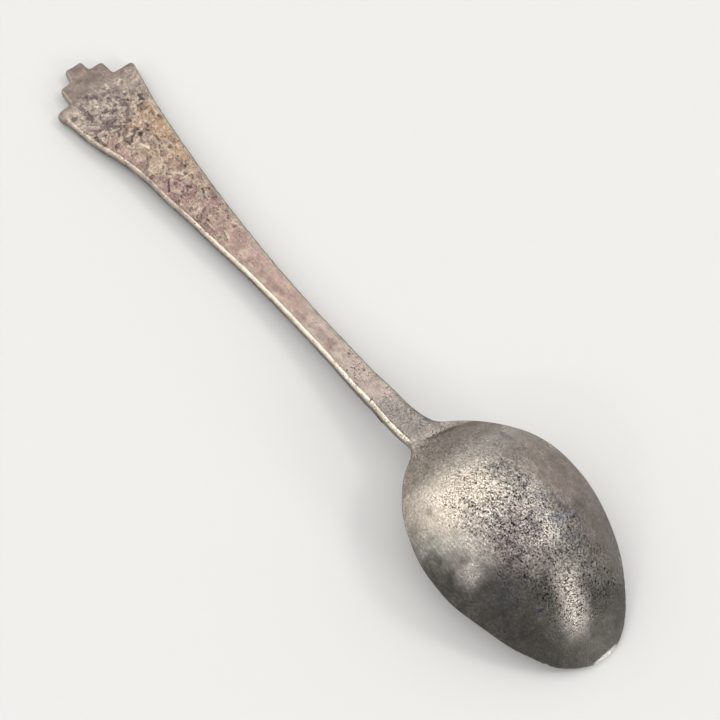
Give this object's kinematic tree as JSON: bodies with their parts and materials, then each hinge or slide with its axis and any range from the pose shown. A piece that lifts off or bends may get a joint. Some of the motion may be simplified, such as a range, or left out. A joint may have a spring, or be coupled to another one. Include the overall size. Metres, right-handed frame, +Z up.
{
  "type": "souvenir spoon",
  "caption": "Small souvenir spoon lying face down: pointed oval bowl on a flat tapering handle that widens to a stepped end.",
  "frame": {"origin": "on the surface that the spoon lies on, under the centre of its bounding box", "axes": "+X along the spoon from the stepped end to the tip of the bowl, +Y across it, +Z up, with the back of the spoon upwards"},
  "size_m": [0.115, 0.0244, 0.0133],
  "materials": {
    "bowl_metal": "tarnished silver plate, grey and warm grey, pitted and finely scratched, worn bright at the tip",
    "handle_metal": "tarnished silver plate with tan, pink and plum patches, worn relief and bright worn edges",
    "solder": "dull grey silver solder"
  },
  "bodies": {
    "root": {"bowl": "bowl_metal", "handle": "handle_metal", "neck_solder": "solder"}
  },
  "joints": []
}
